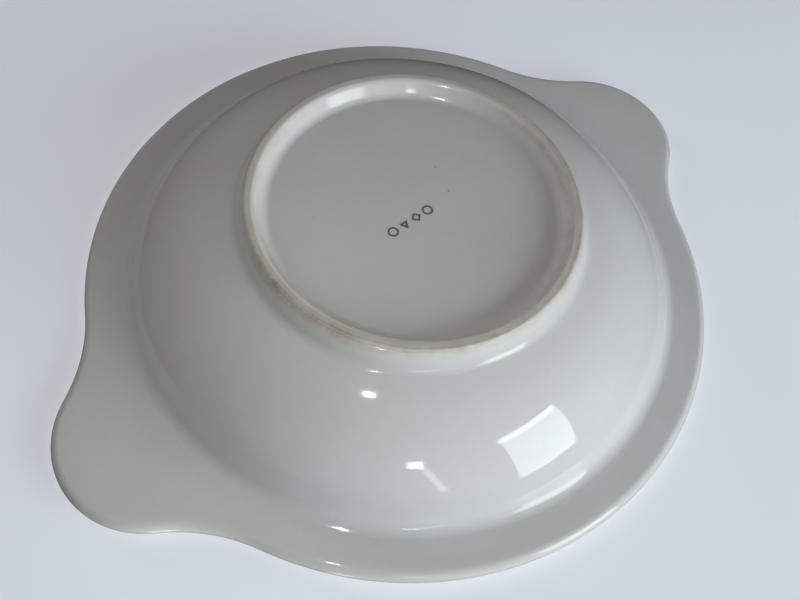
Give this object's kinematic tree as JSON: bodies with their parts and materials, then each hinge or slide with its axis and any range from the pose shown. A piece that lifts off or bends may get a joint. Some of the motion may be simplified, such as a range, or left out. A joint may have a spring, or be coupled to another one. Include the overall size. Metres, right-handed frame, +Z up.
{
  "type": "serving bowl",
  "caption": "Shallow round glazed porcelain serving bowl with a flat flange rim, two opposite lug handles and a recessed foot ring.",
  "frame": {"origin": "centre of the foot ring, in the plane where it touches the table", "axes": "+Z up out of the mouth, +X through one lug handle, the other lug on -X"},
  "size_m": [0.277, 0.228, 0.046],
  "materials": {
    "bare_porcelain": "unglazed fired clay, matt",
    "white_glaze": "clear glossy glaze over white clay",
    "recess_glaze": "thin glossy glaze, slightly warm",
    "grey_ink": "thin printed ink film"
  },
  "bodies": {
    "root": {"porcelain_body": "bare_porcelain", "main_glaze_coat": "white_glaze", "recess_glaze_coat": "recess_glaze", "base_stamp": "grey_ink"}
  },
  "joints": []
}
